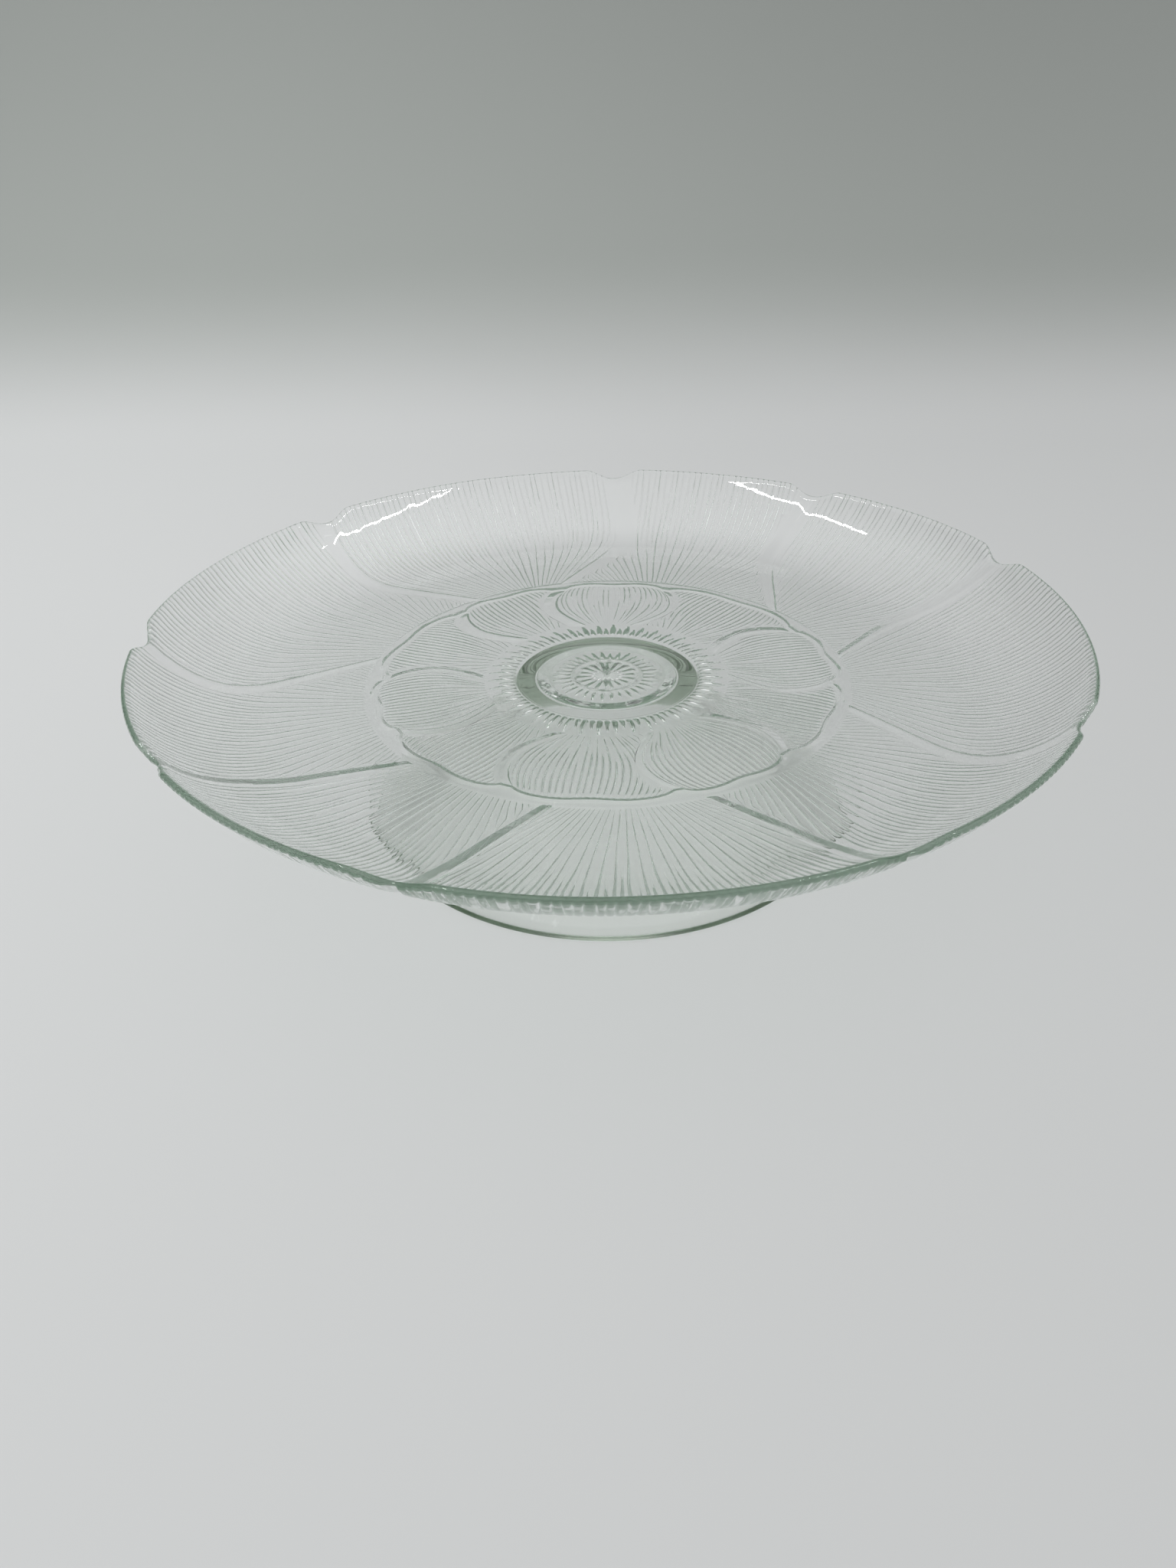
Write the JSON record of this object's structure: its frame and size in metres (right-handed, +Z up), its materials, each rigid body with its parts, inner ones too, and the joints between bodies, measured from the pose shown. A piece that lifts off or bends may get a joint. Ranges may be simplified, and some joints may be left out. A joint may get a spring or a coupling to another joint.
{
  "type": "footed cake plate",
  "caption": "Round clear-glass cake plate with an upturned petal-shaped rim and a flower pressed into its underside, on a hollow flared glass foot.",
  "frame": {"origin": "on the table, at the middle of the foot", "axes": "+Z up along the axis of the foot and plate; -Y is the side nearest the viewer in the picture"},
  "size_m": [0.33, 0.33, 0.0776],
  "materials": {
    "plate_glass": "clear pressed soda-lime glass, faint green where seen edge on, flower relief underneath",
    "foot_glass": "clear pressed soda-lime glass, plain and fire polished",
    "clear_bond": "clear cured adhesive film"
  },
  "bodies": {
    "root": {"plate": "plate_glass", "foot": "foot_glass", "bond_ring": "clear_bond"}
  },
  "joints": []
}
